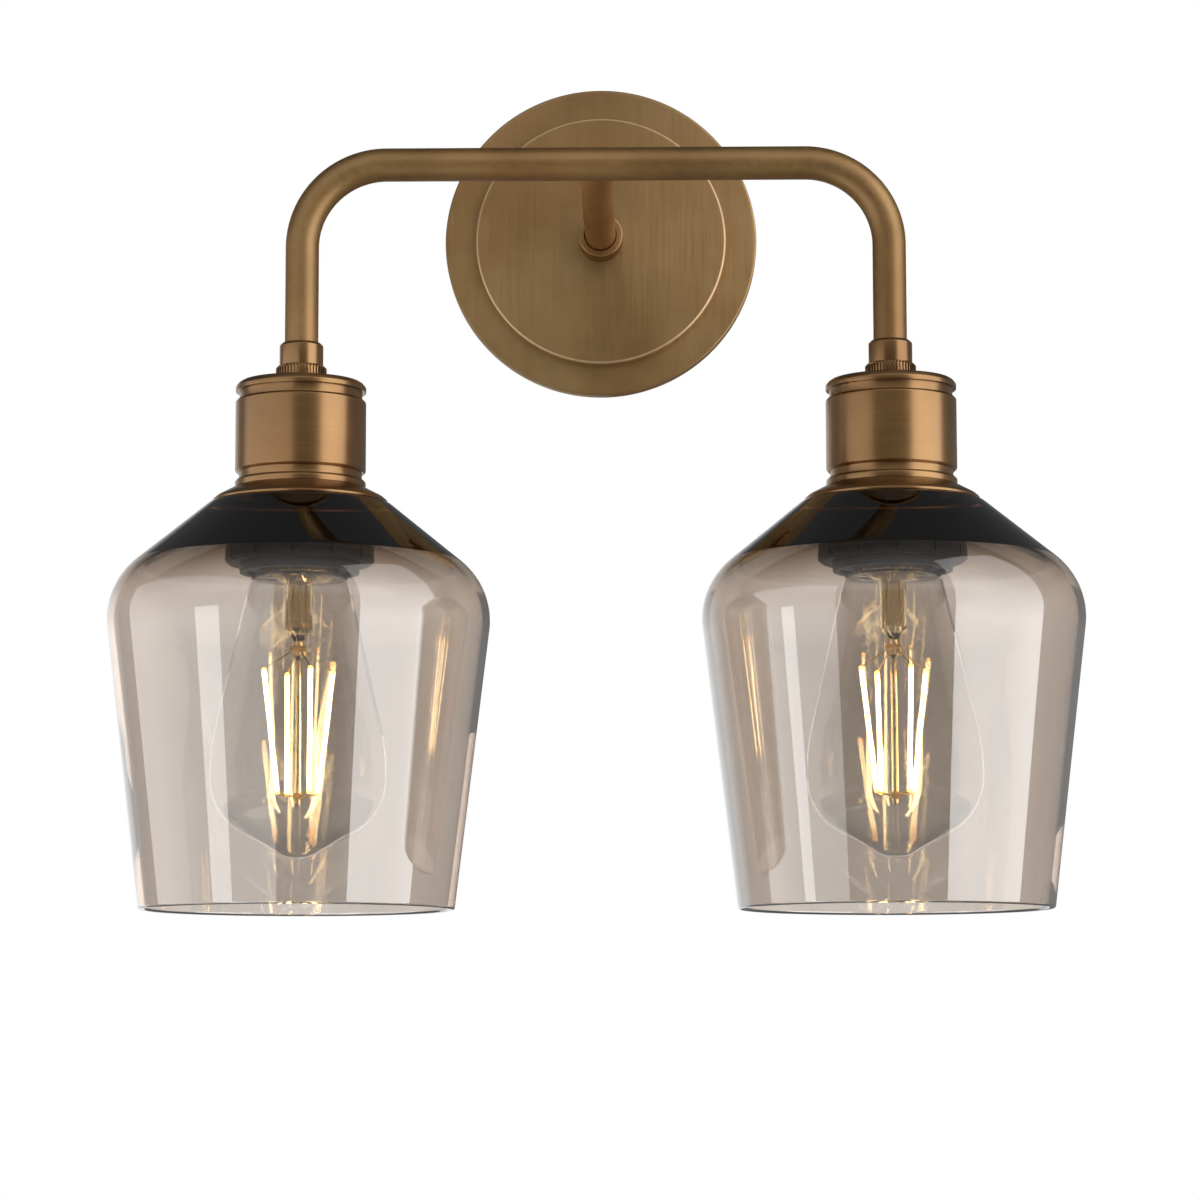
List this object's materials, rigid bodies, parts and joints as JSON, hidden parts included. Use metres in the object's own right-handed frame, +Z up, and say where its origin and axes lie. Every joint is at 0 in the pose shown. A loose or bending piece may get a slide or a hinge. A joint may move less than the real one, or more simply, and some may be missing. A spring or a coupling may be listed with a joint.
{
  "type": "double arm wall sconce",
  "caption": "Wall light with a round backplate, one arm bent down at both ends, turned brass cups, smoked glass shades open at the bottom, and screw-in filament bulbs.",
  "frame": {"origin": "on the wall, at the middle of the bracket's back face and of the two screw slots", "axes": "+Y into the wall (the light stands out along -Y), +X to the right for someone facing the wall, +Z up"},
  "size_m": [0.3614, 0.2107, 0.3437],
  "materials": {
    "aged_brass": "aged, brushed",
    "zinc_steel": "zinc plated",
    "tin_plate": "tinned",
    "contact_brass": "bright",
    "nickel_brass": "satin",
    "black_phenolic": "moulded, satin",
    "connector_body": "clear moulding",
    "white_porcelain": "glazed",
    "live_insulation": "smooth",
    "neutral_insulation": "smooth",
    "earth_insulation": "smooth",
    "smoked_glass": "blown, polished",
    "clear_glass": "blown, polished",
    "black_glass": "moulded",
    "filament": "phosphor coat, lit",
    "support_wire": "drawn",
    "circuit_board": "coated board"
  },
  "bodies": {
    "fixture": {"wall_bracket": "zinc_steel", "plate_side_screws": "aged_brass", "earth_screw": "zinc_steel", "earth_ring_terminals": "tin_plate", "earth_wire": "earth_insulation", "backplate": "aged_brass", "face_disc": "aged_brass", "stem_collar": "aged_brass", "stem_tube": "aged_brass", "stem_nipple": "zinc_steel", "stem_nut": "zinc_steel", "arm_tube": "aged_brass", "live_push_connector": "connector_body", "neutral_push_connector": "connector_body", "left_live_wire": "live_insulation", "left_neutral_wire": "neutral_insulation", "left_tube_coupler": "aged_brass", "left_arm_nipple": "zinc_steel", "left_lock_ring": "aged_brass", "left_cup": "aged_brass", "left_gallery": "aged_brass", "left_lampholder_cap": "black_phenolic", "left_lampholder_body": "black_phenolic", "left_contact_block": "white_porcelain", "left_centre_contact": "contact_brass", "left_screw_shell": "contact_brass", "left_terminal_screws": "zinc_steel", "right_live_wire": "live_insulation", "right_neutral_wire": "neutral_insulation", "right_tube_coupler": "aged_brass", "right_arm_nipple": "zinc_steel", "right_lock_ring": "aged_brass", "right_cup": "aged_brass", "right_gallery": "aged_brass", "right_lampholder_cap": "black_phenolic", "right_lampholder_body": "black_phenolic", "right_contact_block": "white_porcelain", "right_centre_contact": "contact_brass", "right_screw_shell": "contact_brass", "right_terminal_screws": "zinc_steel"},
    "left_bulb_tip": {"left_bulb_contact": "tin_plate", "left_bulb_insulator": "black_glass"},
    "left_bulb": {"left_bulb_glass": "clear_glass", "left_bulb_cap": "nickel_brass", "left_bulb_stem": "clear_glass", "left_bulb_filaments": "filament", "left_bulb_support_wires": "support_wire", "left_bulb_driver_board": "circuit_board"},
    "left_shade": {"left_glass_shade": "smoked_glass"},
    "left_shade_ring": {"left_shade_ring": "black_phenolic"},
    "right_bulb_tip": {"right_bulb_contact": "tin_plate", "right_bulb_insulator": "black_glass"},
    "right_bulb": {"right_bulb_glass": "clear_glass", "right_bulb_cap": "nickel_brass", "right_bulb_stem": "clear_glass", "right_bulb_filaments": "filament", "right_bulb_support_wires": "support_wire", "right_bulb_driver_board": "circuit_board"},
    "right_shade": {"right_glass_shade": "smoked_glass"},
    "right_shade_ring": {"right_shade_ring": "black_phenolic"}
  },
  "joints": [
    {"name": "left_bulb_travel", "type": "slide", "parent": "fixture", "child": "left_bulb_tip", "axis": [0, 0, -1], "range_m": [0, 0.0145]},
    {"name": "left_bulb_turn", "type": "hinge", "parent": "left_bulb_tip", "child": "left_bulb", "pos_m": [-0.11, -0.14, -0.2], "axis": [0, 0, -1], "range_deg": [0, 1440]},
    {"name": "left_shade_lower", "type": "slide", "parent": "fixture", "child": "left_shade", "axis": [0, 0, -1], "range_m": [0, 0.00625]},
    {"name": "left_ring_turn", "type": "hinge", "parent": "left_shade", "child": "left_shade_ring", "pos_m": [-0.11, -0.14, -0.14], "axis": [0, 0, -1], "range_deg": [0, 900]},
    {"name": "right_bulb_travel", "type": "slide", "parent": "fixture", "child": "right_bulb_tip", "axis": [0, 0, -1], "range_m": [0, 0.0145]},
    {"name": "right_bulb_turn", "type": "hinge", "parent": "right_bulb_tip", "child": "right_bulb", "pos_m": [0.11, -0.14, -0.2], "axis": [0, 0, -1], "range_deg": [0, 1440]},
    {"name": "right_shade_lower", "type": "slide", "parent": "fixture", "child": "right_shade", "axis": [0, 0, -1], "range_m": [0, 0.00625]},
    {"name": "right_ring_turn", "type": "hinge", "parent": "right_shade", "child": "right_shade_ring", "pos_m": [0.11, -0.14, -0.14], "axis": [0, 0, -1], "range_deg": [0, 900]}
  ],
  "couplings": [
    {"joint": "left_bulb_turn", "follows": "left_bulb_travel", "rad_per_m": 1731.4},
    {"joint": "left_ring_turn", "follows": "left_shade_lower", "rad_per_m": 2513.3},
    {"joint": "right_bulb_turn", "follows": "right_bulb_travel", "rad_per_m": 1731.4},
    {"joint": "right_ring_turn", "follows": "right_shade_lower", "rad_per_m": 2513.3}
  ]
}
